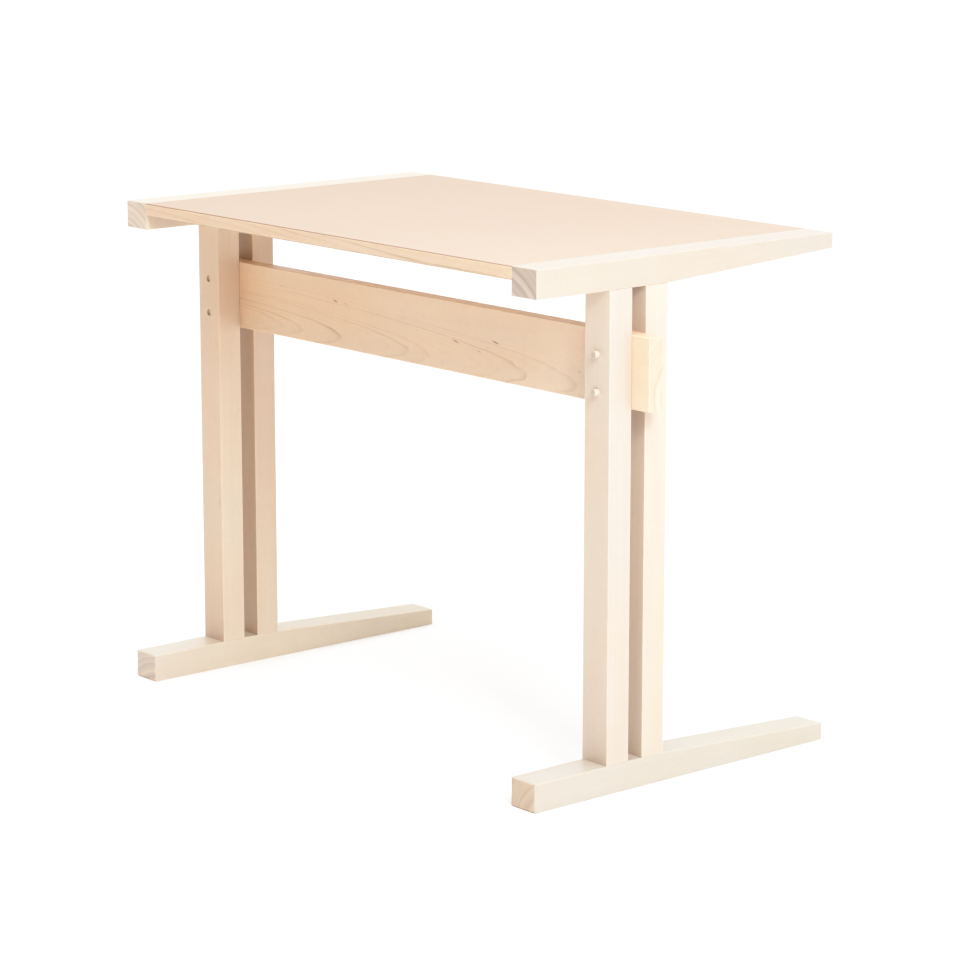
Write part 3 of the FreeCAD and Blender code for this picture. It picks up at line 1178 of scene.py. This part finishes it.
@dataclass(frozen=True)
class SoftBox(StudioLight):
    """A square soft light.

    Fields:
        reach: Its distance from the middle of the desk.
        width: Its width.
        power: Its power in watts.
    """

    reach: float
    width: float
    power: float

    def hang(self) -> None:
        """Hangs the light."""
        light = bpy.data.lights.new(self.name, "AREA")
        light.shape = "SQUARE"
        light.size = self.width
        light.energy = self.power
        self.place(light, self.reach)


@dataclass(frozen=True)
class WideLight(StudioLight):
    """Even light from a wide patch of the room, as strong far off as it is near the desk.

    Fields:
        spread: Degrees that the patch spans.
        strength: Power on a square metre that faces it.
    """

    spread: float
    strength: float

    def hang(self) -> None:
        """Hangs the light."""
        light = bpy.data.lights.new(self.name, "SUN")
        light.angle = math.radians(self.spread)
        light.energy = self.strength
        self.place(light, 0.0)


@dataclass(frozen=True)
class Studio:
    """A pale floor, soft lights and the camera.

    Fields:
        lights: The soft lights.
        haze: Strength of the faint light from everywhere.
        backdrop: Brightness of the room behind the floor, as the camera sees it.
        knee: Brightness above which the picture's tones are compressed.
        curve_steps: How finely that curve is drawn.
        floor_reach: Half the floor's width.
        floor_level: Z of the floor, just under the feet.
        floor_tone: Share of the light that the floor throws back.
        lens: The camera's focal length in millimetres.
        sensor: The camera's sensor width in millimetres.
        eye: Where the camera stands.
        heading: Degrees that the camera is turned from +Y towards -X.
        dip: Degrees that it looks down.
    """

    lights: tuple[Union[SoftBox, WideLight], ...] = (
        SoftBox("key", 70.0, 35.0, 2.8, 0.6, 47.5),
        SoftBox("low", 60.0, 22.0, 2.8, 0.6, 11.7),
        SoftBox("fill", 60.0, 50.0, 3.4, 2.0, 15.5),
        WideLight("ceiling", 0.0, 89.0, 90.0, 3.84),
        WideLight("side", 130.0, 20.0, 60.0, 0.94),
        WideLight("rear", 230.0, 15.0, 60.0, 1.03),
    )
    haze: float = 0.18
    backdrop: float = 1.4
    knee: float = 0.6
    curve_steps: int = 12
    floor_reach: float = 60.0
    floor_level: float = -0.00005
    floor_tone: float = 0.945
    lens: float = 128.98
    sensor: float = 36.0
    eye: Triple = (3.7841, -3.1985, 1.3979)
    heading: float = 49.590
    dip: float = 11.992

    def build(self) -> None:
        """Makes the floor, the lights, the tone curve and the camera."""
        self.make_floor()
        self.make_lights()
        self.make_camera()
        self.set_tone_curve()
        LOG.info("made the studio")

    def make_floor(self) -> None:
        """Lays a pale floor just under the feet."""
        mesh = bpy.data.meshes.new("floor")
        corners = [
            (x * self.floor_reach, y * self.floor_reach, self.floor_level)
            for x, y in ((-1, -1), (1, -1), (1, 1), (-1, 1))
        ]
        mesh.from_pydata(corners, [], [(0, 1, 2, 3)])
        floor = bpy.data.objects.new("floor", mesh)
        bpy.context.scene.collection.objects.link(floor)
        paint = (self.floor_tone, self.floor_tone, self.floor_tone, 1.0)
        FinishSheet("pale_floor").put_on(floor, {"Base Color": paint, "Roughness": 0.85})

    def make_lights(self) -> None:
        """Hangs the soft lights and fills the room with a faint even light."""
        for light in self.lights:
            light.hang()
        world = bpy.data.worlds.new("studio")
        bpy.context.scene.world = world
        world.use_nodes = True
        sheet = NodeSheet(world.node_tree)
        white = (1.0, 1.0, 1.0, 1.0)
        shown, lit = (
            sheet.add("ShaderNodeBackground", inputs={"Color": white, "Strength": strength})
            for strength in (self.backdrop, self.haze)
        )
        is_seen = sheet.add("ShaderNodeLightPath").outputs["Is Camera Ray"]
        both = sheet.add(
            "ShaderNodeMixShader",
            inputs={0: is_seen, 1: lit.outputs["Background"], 2: shown.outputs["Background"]},
        )
        sheet.add("ShaderNodeOutputWorld", inputs={"Surface": both.outputs["Shader"]})

    def set_tone_curve(self) -> None:
        """Gives the picture a soft shoulder, so that pale wood in full light keeps its grain."""
        view = bpy.context.scene.view_settings
        view.view_transform = "Standard"
        view.use_curve_mapping = True
        mapping = view.curve_mapping
        brightest = 2.0 - self.knee
        mapping.white_level = (brightest, brightest, brightest)
        curve = mapping.curves[3]
        span = brightest - self.knee
        stops = [self.knee + span * step / self.curve_steps for step in range(self.curve_steps)]
        for light in (self.knee * 0.5, *stops):
            over = max(light - self.knee, 0.0)
            shown = light - over * over / (4.0 * (1.0 - self.knee))
            curve.points.new(light / brightest, shown)
        mapping.update()

    def make_camera(self) -> None:
        """Sets up the camera at the photograph's angle."""
        data = bpy.data.cameras.new("camera")
        data.lens = self.lens
        data.sensor_width = self.sensor
        camera = bpy.data.objects.new("camera", data)
        camera.location = self.eye
        camera.rotation_euler = (math.radians(90.0 - self.dip), 0.0, math.radians(self.heading))
        bpy.context.scene.collection.objects.link(camera)
        bpy.context.scene.camera = camera


def main() -> None:
    """Builds the looks in order."""
    logging.basicConfig(level=logging.INFO, format="%(message)s")
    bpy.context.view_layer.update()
    Studio().build()
    for side in Side:
        Trestle(side).build()
    Beam().build()
    Pins().build()
    Top().build()


if __name__ == "__main__":
    main()
